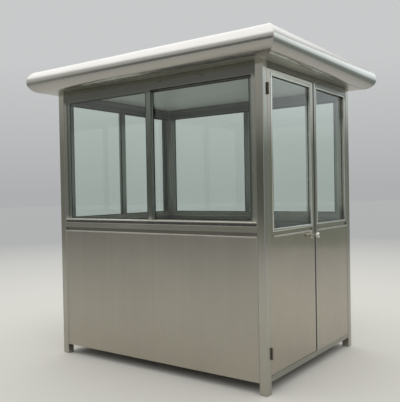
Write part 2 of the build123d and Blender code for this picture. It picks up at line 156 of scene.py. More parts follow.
def tube_faces(rows: int, columns: int) -> Faces:
    """Faces of a tube whose rows are closed loops of points, with a flat cap on its first and last row."""
    own = np.arange(rows * columns).reshape(rows, columns)
    return grid_quads(rows, columns, False, True) + [own[0, ::-1].tolist(), own[-1].tolist()]


def facing_out(points: np.ndarray, faces: Faces) -> Faces:
    """Turns the faces of a closed surface outwards where they face inwards.

    The formula adds up the signed volumes of the tetrahedra from the origin to the fan of each face.
    A sum below zero says that the faces point inwards, and then the order of each face is reversed.

    Args:
        points: Array of (n, 3) points.
        faces: Lists of point numbers.

    Returns:
        The faces, in the order that points outwards.
    """
    volume = 0.0
    for size in {len(face) for face in faces}:
        corners = points[np.array([face for face in faces if len(face) == size])]
        volume += float((corners[:, :1] * np.cross(corners[:, 1:-1], corners[:, 2:])).sum())
    return [face[::-1] for face in faces] if volume < 0 else faces


def arc(centre: Pair, radius_a: float, radius_b: float, first: float, last: float, steps: int) -> np.ndarray:
    """Points at even angles, in degrees, along an ellipse round a centre, as an array of (steps, 2)."""
    angle = np.radians(np.linspace(first, last, steps))
    return np.stack((centre[0] + radius_a * np.cos(angle), centre[1] + radius_b * np.sin(angle)), axis=1)


def half_ellipse(half_width: float, proud: float, foot: float = 0.001) -> np.ndarray:
    """A closed section of (across, out) points: half an ellipse on a foot that sinks into the skin."""
    bow = arc((0.0, 0.0), half_width, proud, 0.0, 180.0, 11)
    return np.concatenate((bow, [(-half_width, -foot), (half_width, -foot)]))


def framed_ring(opening: Opening, section: np.ndarray, wall: Wall) -> Shell:
    """A mitred ring round a rectangular opening of a wall.

    The formula gives, for each section point (inset, depth), the four corners of the rectangle drawn in
    by the inset at that depth. The section is a closed loop, and so is each rectangle.

    Args:
        opening: Lowest and highest (x, z) corner of the opening on the wall.
        section: Array of (k, 2) points: inset from the opening's edge, depth behind the wall's plane.
        wall: The wall that it belongs to.

    Returns:
        Points and faces of the ring.
    """
    (low_x, low_z), (high_x, high_z) = opening
    inset, depth = section[:, :1], section[:, 1:]
    x = np.array((low_x, high_x, high_x, low_x)) + inset * (1, -1, -1, 1)
    z = np.array((low_z, low_z, high_z, high_z)) + inset * (1, 1, -1, -1)
    return place_on_wall(xyz(x, depth, z), wall), grid_quads(len(section), 4, True, True)


def turned(profile: np.ndarray, segments: int, hollow: bool) -> Shell:
    """A surface of revolution about the Z axis.

    The formula sends a profile point (radius, height) and an angle to
    (radius times cosine, radius times sine, height).

    Args:
        profile: Array of (k, 2) radius and height points.
        segments: Number of steps round the axis.
        hollow: True where the profile is a closed loop off the axis. Otherwise both ends get a flat cap.

    Returns:
        Points of (k, segments, 3) and faces.
    """
    angle = np.linspace(0.0, 2 * np.pi, segments, endpoint=False)
    radius, height = profile[:, :1], profile[:, 1:]
    faces = grid_quads(len(profile), segments, True, True) if hollow else tube_faces(len(profile), segments)
    return xyz(radius * np.cos(angle), radius * np.sin(angle), height), faces


def swept(path: np.ndarray, across: np.ndarray, out: np.ndarray, section: np.ndarray) -> Shell:
    """A closed section carried along a path, with flat ends.

    The formula gives, for each path point and section point (a, b), path + a * across + b * out.

    Args:
        path: Array of (n, 3) points.
        across: The section's first direction, as one vector or one for each path point.
        out: The section's second direction, as one vector or one for each path point.
        section: Array of (k, 2) points, a closed loop.

    Returns:
        Points of (n, k, 3) and faces.
    """
    points = path[:, None] + section[:, :1] * across[..., None, :] + section[:, 1:] * out[..., None, :]
    return points, tube_faces(len(path), len(section))


def strip(wall: Wall, start: Triple, end: Triple, section: np.ndarray, steps: int = 24) -> Shell:
    """A section carried straight along a wall, level or upright.

    Args:
        wall: The wall that it belongs to.
        start: First point of the section's origin, drawn on a front wall at the origin.
        end: Its last point.
        section: Array of (k, 2) points: (depth, height) on a level strip, (x, depth) on an upright one.
        steps: Number of points along the strip.

    Returns:
        Points and faces.
    """
    ways = (DEEP, UP) if start[2] == end[2] else (ALONG, DEEP)
    points, faces = swept(np.linspace(start, end, steps), *ways, section)
    return place_on_wall(points, wall), faces


def new_object(name: str, points: np.ndarray, faces: Faces,
               material: bpy.types.Material) -> bpy.types.Object:
    """Makes an object at the origin and puts it into the scene.

    Args:
        name: Its name.
        points: Array of (..., 3) points.
        faces: Lists of point numbers.
        material: What it wears.

    Returns:
        The object.
    """
    mesh = bpy.data.meshes.new(name)
    mesh.from_pydata(points.reshape(-1, 3).tolist(), [], faces)
    mesh.materials.append(material)
    made = bpy.data.objects.new(name, mesh)
    bpy.context.scene.collection.objects.link(made)
    return made


def solid_piece(name: str, shells: list[Shell], finish: "Finish", body: str = "booth",
                sharp_angle: float = 50.0) -> bpy.types.Object:
    """Makes one piece of closed shells that rides on a body and wears a finish.

    Args:
        name: The piece's name.
        shells: Points and faces of each closed surface.
        finish: What it wears.
        body: The CAD body that it moves with.
        sharp_angle: Edges that bend more than this many degrees stay sharp.

    Returns:
        The finished object, at the origin.
    """
    all_points: list[np.ndarray] = []
    all_faces: Faces = []
    start = 0
    for points, faces in shells:
        flat = points.reshape(-1, 3)
        all_faces += [[start + number for number in face] for face in facing_out(flat, faces)]
        all_points.append(flat)
        start += len(flat)
    piece = new_object(name, np.concatenate(all_points), all_faces, finish.material())
    mesh = piece.data
    mesh.polygons.foreach_set("use_smooth", np.ones(len(mesh.polygons), dtype=bool))
    mesh.set_sharp_from_angle(angle=radians(sharp_angle))
    mesh.validate()
    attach(piece, body)
    LOG.info("piece %s: %d faces on body %s", name, len(mesh.polygons), body)
    return piece


def pane_seals(name: str, opening: Opening, wall: Wall, depth: float, lip: tuple[Pair, ...],
               body: str = "booth", half_glass: float = 0.0025) -> None:
    """The rubber seals on both faces of a pane, each a ring with a soft lip.

    Args:
        name: The piece's name.
        opening: Lowest and highest (x, z) corner of the glass opening on the wall.
        wall: The wall of the pane.
        depth: Middle of the pane behind the wall's plane.
        lip: The section of a seal: inset into the opening, distance from the glass.
        body: The body that the pane rides on.
        half_glass: Half the thickness of the glass.
    """
    shells = [framed_ring(opening, np.array(lip) * (1.0, way) + (0.0, depth + way * half_glass), wall)
              for way in (-1.0, 1.0)]
    solid_piece(name, shells, Finish.SEAL, body)


# Finishes

def linear(colour: Colour) -> tuple[float, float, float, float]:
    """A colour as the linear values that a shader takes, with full opacity.

    Args:
        colour: Red, green and blue as 0 to 255 screen values.

    Returns:
        Red, green, blue and opacity from 0 to 1.
    """
    share = np.array(colour, dtype=float) / 255
    value = np.where(share <= 0.04045, share / 12.92, ((share + 0.055) / 1.055) ** 2.4)
    return (*(float(v) for v in value), 1.0)


class Bench:
    """The node tree of a material or a world, with short calls to add nodes and join them."""

    def __init__(self, owner: bpy.types.Material | bpy.types.World) -> None:
        """Empties the tree of a new material or world and gives it its output.

        Args:
            owner: The material or world.
        """
        owner.use_nodes = True
        self.owner, self.tree = owner, owner.node_tree
        self.tree.nodes.clear()
        self.output = self.tree.nodes.new("ShaderNodeOutput" + type(owner).__name__)

    def add(self, kind: str, inputs: dict | None = None, **settings: object) -> bpy.types.Node:
        """Adds a node, sets its properties, and fills or joins its inputs.

        Args:
            kind: The node's type after the words ShaderNode.
            inputs: Values, or sockets to join, by input name or number.
            settings: Properties of the node.

        Returns:
            The node.
        """
        node = self.tree.nodes.new("ShaderNode" + kind)
        for key, value in settings.items():
            setattr(node, key, value)
        for key, value in (inputs or {}).items():
            if isinstance(value, Socket):
                self.tree.links.new(value, node.inputs[key])
            else:
                node.inputs[key].default_value = value
        return node

    def place(self, output: str = "Object") -> Socket:
        """The Object coordinates of the surface, or another output of the coordinates."""
        return self.add("TexCoord").outputs[output]

    def axis(self, name: str, output: str = "Object") -> Socket:
        """X, Y or Z of the coordinates."""
        return self.add("SeparateXYZ", {0: self.place(output)}).outputs[name]

    def stretched(self, *scale: float) -> Socket:
        """The Object coordinates with each axis multiplied by a scale."""
        return self.add("Mapping", {"Vector": self.place(), "Scale": scale}).outputs["Vector"]

    def noise(self, vector: Socket, scale: float, detail: float) -> Socket:
        """Soft noise from 0 to 1 at a scale per metre of the vector."""
        return self.add("TexNoise", {"Vector": vector, "Scale": scale, "Detail": detail}).outputs["Fac"]

    def spread(self, value: Socket, start: float, end: float, low: float = 0.0, high: float = 1.0) -> Socket:
        """Maps a value from the span start to end onto the span low to high, and stops at its ends."""
        keys = {"Value": value, "From Min": start, "From Max": end, "To Min": low, "To Max": high}
        return self.add("MapRange", keys).outputs["Result"]

    def math(self, operation: str, first: object, second: object = 0.0) -> Socket:
        """The result of one operation on one or two sockets or numbers."""
        return self.add("Math", {0: first, 1: second}, operation=operation).outputs[0]

    def average(self, first: Socket, second: Socket, share: float) -> Socket:
        """A share of the first value and the rest of the second."""
        rest = self.math("MULTIPLY", second, 1.0 - share)
        return self.math("ADD", self.math("MULTIPLY", first, share), rest)

    def blend(self, share: object, first: object, second: object) -> Socket:
        """A colour between first and second by a share from 0 to 1."""
        return self.add("Mix", {0: share, 6: first, 7: second}, data_type="RGBA").outputs[2]

    def bump(self, height: Socket, distance: float) -> Socket:
        """A normal from a height of 0 to 1 over a distance in metres."""
        return self.add("Bump", {"Height": height, "Distance": distance, "Strength": 1.0}).outputs["Normal"]

    def surface(self, **inputs: object) -> Socket:
        """A Principled shader with the given inputs, where an underscore stands for a space."""
        keys = {key.replace("_", " "): value for key, value in inputs.items()}
        return self.add("BsdfPrincipled", keys).outputs[0]

    def finish(self, shader: Socket) -> bpy.types.Material | bpy.types.World:
        """Joins the shader to the output and returns the material or world."""
        self.tree.links.new(shader, self.output.inputs["Surface"])
        return self.owner


@dataclass(frozen=True)
class BrushedSteel:
    """Brushed stainless steel: hairlines, soft streaks, cloudy tone and slight waves.

    Dust thickens downwards to a foot level; it is real, and it is also painted sheen: a pale colour
    that stands in for the floor's reflection low on a panel and for light on a window's bottom rail. A
    dark colour grows from its first level to its second, up into the eaves or the gap above a panel, or
    down round the underside of the roof's edge: painted shade. The roughness of a finish stays wholly
    above or wholly below 0.274, because a surface that crosses that value comes out of the noise filter
    with false specks.
    """

    name: str
    colour: Colour
    shade: Colour
    roughness: float
    grain: Grain = Grain.UPRIGHT
    wave: float = 0.002
    # Dust and painted sheen: a pale colour that thickens downwards from the top to the foot level.
    dust: float = 0.0
    dust_foot: float = 0.08
    dust_top: float = 0.95
    dust_colour: Colour = (160, 151, 133)
    # Painted shade: how much of a dark colour is blended in between the two levels.
    film: float = 0.0
    film_levels: Pair = (2.11, 2.15)
    film_colour: Colour = (60, 60, 55)
    hairline: Pair = (420.0, 3.0)
    hairline_share: float = 0.16
    streak: Pair = (34.0, 0.5)
    cloud: float = 1.7
    smudge: float = 13.0
    smudge_span: Pair = (0.55, 0.72)
    streak_share: float = 0.35
    uneven: Pair = (-0.012, 0.016)
    dust_thinnest: float = 0.75
    dust_dulls: float = 0.25
    anisotropy: float = 0.6
    end_wall: float = 0.9385
    polished: float = 0.25
    smears: Pair = (0.03, 0.07)

    @property
    def smear(self) -> float:
        """How much rougher a smudge is: less on polished steel, so that it stays below 0.274."""
        polished_smear, dull_smear = self.smears
        return polished_smear if self.roughness < self.polished else dull_smear

    def brushed(self, bench: Bench, scales: Pair) -> Socket:
        """Coordinates squeezed across the brushing.

        Upright brushing is fine along X and Y and long along Z. Level brushing is long along X on the
        front and back walls, and long along Y where x lies beyond the end wall's inner side.

        Args:
            bench: The material's bench.
            scales: Scale per metre across the grain and along it.

        Returns:
            The squeezed vector.
        """
        fine, long = scales
        if self.grain is Grain.UPRIGHT:
            return bench.stretched(fine, fine, long)
        if self.grain is Grain.PLAIN:
            return bench.stretched(fine, fine, fine)
        beyond = bench.math("GREATER_THAN", bench.math("ABSOLUTE", bench.axis("X")), self.end_wall)
        return bench.blend(beyond, bench.stretched(long, fine, fine), bench.stretched(fine, long, fine))

    def build(self) -> bpy.types.Material:
        """Makes the finish.

        Returns:
            The material.
        """
        bench = Bench(bpy.data.materials.new(self.name))
        place, height = bench.place(), bench.axis("Z")
        hairline = bench.noise(self.brushed(bench, self.hairline), 1.0, 1.0)
        streak = bench.noise(self.brushed(bench, self.streak), 1.0, 1.5)
        cloud = bench.noise(place, self.cloud, 2.0)
        smudge = bench.noise(place, self.smudge, 4.0)
        shade = linear(self.shade)
        tone = bench.spread(bench.average(streak, cloud, self.streak_share), *NOISE_SPAN)
        colour = bench.blend(tone, shade, linear(self.colour))
        colour = bench.blend(bench.spread(hairline, *WIDE_SPAN, 0.0, self.hairline_share), colour, shade)
        rough = bench.spread(streak, *NOISE_SPAN, *(self.roughness + change for change in self.uneven))
        rough = bench.math("ADD", rough, bench.spread(smudge, *self.smudge_span, 0.0, self.smear))
        metal: object = 1.0
        # Painted shade: a dark colour between the two levels, where the eaves, the gap above a panel or the
        # underside of the roof's edge fall in shade.
        if self.film:
            share = bench.spread(height, *self.film_levels, 0.0, self.film)
            colour = bench.blend(share, colour, linear(self.film_colour))
        # Dust, and painted sheen: a pale colour thickening downwards, lighter where the floor's reflection
        # or light falls low on a part.
        if self.dust:
            low = bench.spread(height, self.dust_foot, self.dust_top, self.dust, 0.0)
            dust_and_sheen_share = bench.math("MULTIPLY", low, bench.spread(smudge, *NOISE_SPAN, self.dust_thinnest))
            colour = bench.blend(dust_and_sheen_share, colour, linear(self.dust_colour))
            rough = bench.math("ADD", rough, bench.math("MULTIPLY", dust_and_sheen_share, self.dust_dulls))
            metal = bench.spread(dust_and_sheen_share, 0.0, 1.0, 1.0, 0.0)
        keys = {"Base_Color": colour, "Metallic": metal, "Roughness": rough,
                "Normal": bench.bump(cloud, self.wave)}
        if self.grain is not Grain.PLAIN:
            quarter_turn = 0.25 if self.grain is Grain.LEVEL else 0.0
            keys |= {"Anisotropic": self.anisotropy, "Anisotropic_Rotation": quarter_turn}
        return bench.finish(bench.surface(**keys))


@dataclass(frozen=True)
class ClearGlass:
    """Float glass with a slight green tint and a faint film, which lets lamps through."""

    name: str
    tint: Colour = (243, 250, 246)
    shadow_tint: Colour = (225, 236, 230)
    streak: Triple = (16.0, 16.0, 1.6)
    streak_span: Pair = (0.45, 0.75)
    film: float = 0.012
    refraction: float = 1.5

    def build(self) -> bpy.types.Material:
        """Makes the finish.

        Returns:
            The material.
        """
        bench = Bench(bpy.data.materials.new(self.name))
        streak = bench.noise(bench.stretched(*self.streak), 1.0, 3.0)
        rough = bench.spread(streak, *self.streak_span, 0.0, self.film)
        tint = linear(self.tint)
        glass = bench.surface(Base_Color=tint, Roughness=rough, IOR=self.refraction, Transmission_Weight=1.0)
        clear = bench.add("BsdfTransparent", {"Color": linear(self.shadow_tint)}).outputs[0]
        shadow = bench.add("LightPath").outputs["Is Shadow Ray"]
        return bench.finish(bench.add("MixShader", {0: shadow, 1: glass, 2: clear}).outputs[0])


@dataclass(frozen=True)
class SheetBoard:
    """Painted or coated board: a fine pebble, a soft mottle and scuffs."""

    name: str
    colour: Colour
    shade: Colour
    roughness: float
    pebble: float = 260.0
    mottle: float = 5.0
    scuff: Triple = (6.0, 30.0, 12.0)
    uneven: Pair = (-0.08, 0.1)
    relief: float = 0.0003

    def build(self) -> bpy.types.Material:
        """Makes the finish.

        Returns:
            The material.
        """
        bench = Bench(bpy.data.materials.new(self.name))
        place = bench.place()
        mottle, speck = bench.noise(place, self.mottle, 4.0), bench.noise(place, self.pebble, 2.0)
        scuff = bench.noise(bench.stretched(*self.scuff), 1.0, 5.0)
        share = bench.spread(bench.average(mottle, speck, 0.5), *NOISE_SPAN)
        colour = bench.blend(share, linear(self.shade), linear(self.colour))
        rough = bench.spread(scuff, *WIDE_SPAN, *(self.roughness + change for change in self.uneven))
        normal = bench.bump(speck, self.relief)
        return bench.finish(bench.surface(Base_Color=colour, Roughness=rough, Normal=normal))


@dataclass(frozen=True)
class SealRubber:
    """Dark extruded rubber with a dull bloom."""

    name: str
    colour: Colour = (38, 39, 38)
    bloom: Colour = (72, 73, 70)
    roughness: Pair = (0.5, 0.75)
    patch: float = 22.0
    patch_span: Pair = (0.4, 0.75)
    most_bloom: float = 0.8
    skin: float = 900.0
    relief: float = 0.0001

    def build(self) -> bpy.types.Material:
        """Makes the finish.

        Returns:
            The material.
        """
        bench = Bench(bpy.data.materials.new(self.name))
        place = bench.place()
        patch, skin = bench.noise(place, self.patch, 4.0), bench.noise(place, self.skin, 2.0)
        share = bench.spread(patch, *self.patch_span, 0.0, self.most_bloom)
        colour = bench.blend(share, linear(self.colour), linear(self.bloom))
        rough, normal = bench.spread(patch, *WIDE_SPAN, *self.roughness), bench.bump(skin, self.relief)
        return bench.finish(bench.surface(Base_Color=colour, Roughness=rough, Normal=normal))


class Finish(Enum):
    """Every finish of the booth."""

    # Panel: paler towards the bottom as dusty steel and as painted sheen where the floor's reflection falls,
    # and painted shade in the gap above it.
    PANEL = BrushedSteel("panel_steel", (172, 168, 160), (165, 161, 153), 0.295, dust=0.40, dust_top=1.0,
                         dust_colour=(166, 157, 130), film=0.5, film_levels=(1.0605, 1.0640))
    ROLL = BrushedSteel("roll_steel", (180, 177, 168), (172, 169, 160), 0.34, Grain.PLAIN, 0.0)
    LEAF = BrushedSteel("leaf_steel", (175, 169, 157), (168, 162, 150), 0.14, dust=0.22)
    POST = BrushedSteel("post_steel", (176, 174, 165), (166, 164, 155), 0.17, dust=0.20)
    RAIL = BrushedSteel("rail_steel", (156, 155, 146), (146, 145, 137), 0.295, Grain.LEVEL)
    # Head rails: a darker copy of the rail steel, painted shade under the eaves.
    HEAD = BrushedSteel("head_steel", (121, 120, 111), (113, 112, 104), 0.30, Grain.LEVEL)
    # Frame and sash: the pale band on their bottom rails is dusty steel and a painted highlight, and their
    # heads carry painted shade under the eaves.
    FRAME = BrushedSteel("frame_steel", (172, 173, 165), (163, 164, 156), 0.29, wave=0.0004,
                         dust=0.5, dust_foot=1.155, dust_top=1.190, film=0.7)
    # The sash is a darker copy of the frame steel: painted reflection of dark surroundings.
    SASH = BrushedSteel("sash_steel", (137, 143, 134), (129, 135, 127), 0.29, wave=0.0004,
                        dust=0.7, dust_foot=1.160, dust_top=1.195, film=0.7)
    # Side light: painted shade on its head under the eaves.
    LIGHT = BrushedSteel("side_light_steel", (180, 178, 168), (170, 168, 158), 0.18, wave=0.0004, film=0.7)
    # Roof: painted shade darkens the underside of the rolled edge.
    ROOF = BrushedSteel("roof_steel", (202, 199, 193), (196, 193, 187), 0.17, Grain.PLAIN, 0.003,
                        film=0.28, film_levels=(2.311, 2.286))
    DECK = BrushedSteel("deck_steel", (164, 162, 156), (152, 150, 144), 0.34, Grain.PLAIN, 0.003)
    # Soffit: pale to stand in for light bounced up from the ground, painted light.
    SOFFIT = BrushedSteel("soffit_steel", (202, 200, 190), (194, 192, 182), 0.35, Grain.LEVEL)
    BEAD = BrushedSteel("bead_steel", (208, 208, 200), (196, 196, 188), 0.18, Grain.PLAIN, 0.0)
    KNOB = BrushedSteel("knob_steel", (214, 212, 204), (200, 198, 190), 0.16, Grain.PLAIN, 0.0)
    # Hinges: darker than the rest of the stainless steel, painted shade.
    HINGE = BrushedSteel("hinge_steel", (118, 113, 102), (98, 94, 86), 0.42, Grain.PLAIN, 0.0)
    GLASS = ClearGlass("clear_glass")
    LINING = SheetBoard("white_lining", (232, 233, 229), (224, 225, 221), 0.45)
    FLOOR = SheetBoard("floor_board", (122, 116, 106), (98, 93, 85), 0.6, 120.0)
    FOAM = SheetBoard("foam_core", (216, 206, 176), (198, 186, 154), 0.8, 400.0)
    SEAL = SealRubber("seal_rubber")

    @cache
    def material(self) -> bpy.types.Material:
        """This finish as a material, built when it is first worn."""
        return self.value.build()


def dress(finish: Finish, *nodes: str) -> None:
    """Gives carried-over CAD nodes a finish in place of their plain one.

    Args:
        finish: What they wear.
        nodes: Names of the CAD nodes.
    """
    for name in nodes:
        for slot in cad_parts[name].material_slots:
            slot.material = finish.material()
        LOG.info("node %s wears %s", name, finish.value.name)


# Sub-assemblies

@dataclass
class BoothShell:
    """Posts, rails, lower panels, floor and ceiling, with the rolled edges of the panels."""

    panel_top: float = 1.060
    skin: float = 0.004
    hem_inset: float = 0.0045
    hem_half_width: float = 0.004
    hem_proud: float = 0.0032
    roll_drop: float = 0.0065
    roll_half_width: float = 0.0060
    roll_proud: float = 0.0036
    end_gap: float = 0.001

    def dress_nodes(self) -> None:
        """Gives the CAD nodes of the shell their finishes."""
        corners = (f"{face}_{end}" for face in ("front", "back") for end in ("left", "right"))
        dress(Finish.POST, *(f"corner_post_{corner}" for corner in corners))
        dress(Finish.RAIL, "base_rails", "sill_rails", "floor_joists")
        dress(Finish.HEAD, "head_rails")
        dress(Finish.PANEL, "wall_panel_front", "wall_panel_back", "wall_panel_left")
        dress(Finish.LEAF, "wall_panel_beside_door")
        dress(Finish.LINING, "ceiling_panel")
        dress(Finish.FLOOR, "floor_plate")

    def panel_hems(self, wall: Wall) -> None:
        """The rolled edges down both sides of a lower panel, straight up beside each post.

        Args:
            wall: The wall of the panel.
        """
        section = half_ellipse(self.hem_half_width, self.hem_proud) * (1.0, -1.0)
        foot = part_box("wall_panel_front")[0][2] + self.end_gap
        shells = []
        for side in (-1.0, 1.0):
            x = side * (wall.half_run - self.hem_inset)
            top = (x, self.skin, self.panel_top - self.roll_drop)
            shells.append(strip(wall, (x, self.skin, foot), top, section, 5))
        solid_piece(f"panel_hems_{wall.key}", shells, Finish.ROLL, sharp_angle=35.0)

    def top_roll(self, name: str, span: Pair, depth: float, wall: Wall, body: str = "booth") -> None:
        """The bright rolled top edge of a lower panel, just below its shadow gap.

        Args:
            name: The piece's name.
            span: The two ends along the wall.
            depth: How far the panel's skin lies behind the wall's plane.
            wall: The wall of the panel.
            body: The body that it rides on.
        """
        section = half_ellipse(self.roll_half_width, self.roll_proud) * (1.0, -1.0)
        level = self.panel_top - self.roll_drop
        roll = strip(wall, (span[0], depth, level), (span[1], depth, level), section[:, ::-1])
        solid_piece(name, [roll], Finish.ROLL, body)

    def build(self) -> None:
        """Dresses the shell and adds the rolled edges of the panels and of the leaf's lower part."""
        self.dress_nodes()
        for wall in WINDOW_WALLS:
            self.panel_hems(wall)
            reach = wall.half_run - self.end_gap
            self.top_roll(f"panel_roll_{wall.key}", (-reach, reach), self.skin, wall)
        low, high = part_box("wall_panel_beside_door")
        span = (low[1] + self.end_gap, high[1] - self.end_gap)
        self.top_roll("panel_roll_beside_door", span, self.skin, Wall.RIGHT)
        low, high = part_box("door_glass_bead")
        self.top_roll("leaf_roll", (low[1], high[1]), Wall.RIGHT.depth_of("door_leaf"), Wall.RIGHT, "door")


@dataclass
class SlidingWindow:
    """One sliding window unit: its frame, two sashes and their panes, with seals, bead and strips."""

    wall: Wall
    stile: float = 0.060
    meeting_stile: float = 0.050
    sash_rail: float = 0.035
    end_play: float = 0.005
    pane_depths: Pair = (0.018, 0.042)
    lip_depth: float = 0.005
    bead_level: float = 1.1535
    bead_half: Pair = (0.0035, 0.0045)
    strip_level: float = 1.137
    strip_height: float = 0.017
    strip_proud: float = 0.0012
    strip_sunk: float = 0.0004
    strip_wave: float = 0.0005
    head_level: float = 2.140
    seal_lip: tuple[Pair, ...] = ((-0.0015, 0.0), (0.006, 0.0), (0.006, 0.0006), (0.0036, 0.0021),
                                  (0.0012, 0.0027), (-0.0015, 0.0027))
    pile: tuple[Pair, ...] = ((-0.0016, 0.002), (-0.0014, -0.006), (-0.0009, -0.0088),
                              (0.0009, -0.0088), (0.0014, -0.006), (0.0016, 0.002))

    @property
    def reach(self) -> float:
        """Half the length of the unit inside its end play."""
        return self.wall.half_run - self.end_play

    def opening(self, side: int) -> Opening:
        """The glass opening of one sash as its lowest and highest (x, z) corner.

        Args:
            side: 0 for the left sash, seen from outside, and 1 for the right one.

        Returns:
            The two corners on the wall.
        """
        outer, inner = self.reach - self.stile, self.meeting_stile / 2
        low_x, high_x = (-outer, -inner) if side == 0 else (inner, outer)
        low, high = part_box(f"window_sash_{self.wall.key}_left")
        return (low_x, low[2] + self.sash_rail), (high_x, high[2] - self.sash_rail)

    def level_strips(self, name: str, finish: Finish, section: np.ndarray, level: float,
                     *runs: Triple) -> None:
        """A piece of level strips along the window.

        Args:
            name: The piece's name before the word for the wall.
            finish: What it wears.
            section: Array of (k, 2) points: depth, height.
            level: The height of the section's origin.
            runs: For each strip its two ends along the wall and its depth.
        """
        shells = [strip(self.wall, (first, depth, level), (last, depth, level), section)
                  for first, last, depth in runs]
        solid_piece(f"{name}_{self.wall.key}", shells, finish)

    def sill_bead(self) -> None:
        """The bright rounded bead along the top of the frame's front lip."""
        depth, height = self.bead_half
        bow = arc((0.0, 0.0), depth, height, 90.0, 270.0, 11)
        section = np.concatenate((bow, [(depth, -height), (depth, height)]))
        self.level_strips("sill_bead", Finish.BEAD, section, self.bead_level,
                          (-self.reach, self.reach, self.lip_depth))

    def drain_strip(self) -> None:
        """The dark rubber strip in front of the lower lip, with two shallow grooves: painted shade for the
        shaded recess of the track.

        The face's depth is a cosine of the height with two periods, and the grooves are its two hollows.
        """
        height = np.linspace(-self.strip_height / 2, self.strip_height / 2, 13)
        depth = -self.strip_proud - self.strip_wave * np.cos(height / self.strip_height * 4 * np.pi)
        back = [(self.strip_sunk, height[-1]), (self.strip_sunk, height[0])]
        section = np.concatenate((np.stack((depth, height), axis=1), back))
        self.level_strips("drain_strip", Finish.SEAL, section, self.strip_level,
                          (-self.reach, self.reach, self.lip_depth))

    def head_pile(self) -> None:
        """The dark pile strips that hang from the window head, in the free half of each track: real pile,
        and also painted shade for the shaded recess under the head.
        """
        inner, (outer_track, inner_track) = self.meeting_stile / 2, self.pane_depths
        self.level_strips("head_pile", Finish.SEAL, np.array(self.pile), self.head_level,
                          (inner, self.reach, outer_track), (-self.reach, -inner, inner_track))

    def build(self) -> None:
        """Dresses the unit's nodes and adds its seals, bead and strips."""
        key = self.wall.key
        dress(Finish.FRAME, f"window_frame_{key}")
        dress(Finish.SASH, f"window_sash_{key}_left", f"window_sash_{key}_right")
        dress(Finish.GLASS, f"window_glass_{key}")
        for side, (word, depth) in enumerate(zip(("left", "right"), self.pane_depths)):
            pane_seals(f"window_seal_{key}_{word}", self.opening(side), self.wall, depth, self.seal_lip)
        self.sill_bead()
        self.drain_strip()
        self.head_pile()


@dataclass
class KnobLock:
    """The turned knobs on both faces of the door, their round cover plates and the lock.

    The axis is given by its Y and Z, and the leaf's outer and inner face by their X. The other numbers
    in the two profiles are the points of a drawing, in metres and degrees.
    """

    axis: Pair = ((PLATES_LOW[1] + PLATES_HIGH[1]) / 2, (PLATES_LOW[2] + PLATES_HIGH[2]) / 2)
    faces: Pair = (LEAF_HIGH[0], LEAF_LOW[0])
    rose_radius: float = 0.030
    rose_thickness: float = 0.008
    bore: float = 0.0094
    knob_radius: float = 0.023
    neck_radius: float = 0.009
    reach: float = 0.067
    half_spindle: float = 0.004
    segments: int = 72

    def knob_profile(self) -> np.ndarray:
        """The outline of a knob: neck, hollow flare, rim with a fine groove, and domed crown.

        Returns:
            Array of (k, 2) radius and height from the leaf.
        """
        flare = arc((self.knob_radius, 0.033), self.knob_radius - self.neck_radius, 0.014, 180.0, 97.0, 12)
        rim = arc((self.knob_radius - 0.002, 0.0495), 0.002, 0.0022, -80.0, 40.0, 7)
        groove = np.array([(self.knob_radius - 0.0016, 0.0522), (self.knob_radius - 0.0016, 0.0530)])
        crown = arc((0.009, 0.0535), self.knob_radius - 0.010, self.reach - 0.0535, 8.0, 90.0, 14)
        neck = [(self.neck_radius, -0.001), (self.neck_radius, 0.030)]
        return np.concatenate((neck, flare, rim, groove, crown, [(0.0008, self.reach)]))

    def rose_profile(self) -> np.ndarray:
        """The outline of a cover plate: flat back, rounded rim, a step and a low dome to the bore.

        Returns:
            Array of (k, 2) radius and height from the leaf, a closed loop.
        """
        rim = arc((self.rose_radius - 0.002, 0.0022), 0.002, 0.0020, -10.0, 90.0, 6)
        dome = arc((self.bore + 0.001, 0.0048), 0.0155, self.rose_thickness - 0.0048, 0.0, 90.0, 9)
        back = [(self.bore, 0.0), (self.rose_radius, 0.0)]
        return np.concatenate((back, rim, dome, [(self.bore, self.rose_thickness)]))

    def both_faces(self, profile: np.ndarray, hollow: bool) -> list[Shell]:
        """A turned surface on the leaf's outer face and again on its inner face, with its axis along X.

        Args:
            profile: Array of (k, 2) radius and height from the leaf.
            hollow: True where the profile is a closed loop off the axis.

        Returns:
            The two closed surfaces.
        """
        points, faces = turned(profile, self.segments, hollow)
        y, z = self.axis
        return [(xyz(face + way * points[..., 2], y + points[..., 0], z + points[..., 1]), faces)
                for face, way in zip(self.faces, (1.0, -1.0))]

    def knobs(self) -> None:
        """Both knobs with the square spindle between them, in place of their CAD node."""
        outer, inner = self.faces
        square = np.array([(-1, -1), (1, -1), (1, 1), (-1, 1)]) * self.half_spindle
        path = np.array([(inner, *self.axis), (outer, *self.axis)])
        shells = [*self.both_faces(self.knob_profile(), False), swept(path, DEEP, UP, square)]
        piece = solid_piece("turned_knobs", shells, Finish.KNOB, "knobs")
        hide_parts("door_knobs")

    def roses(self) -> None:
        """The two cover plates, in place of their CAD node."""
        shells = self.both_faces(self.rose_profile(), True)
        piece = solid_piece("round_cover_plates", shells, Finish.LEAF, "door", 40.0)
        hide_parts("door_lock_roses")

    def build(self) -> None:
        """Makes the knobs and plates and dresses the lock."""
        self.knobs()
        self.roses()
        dress(Finish.KNOB, "door_lock_case")


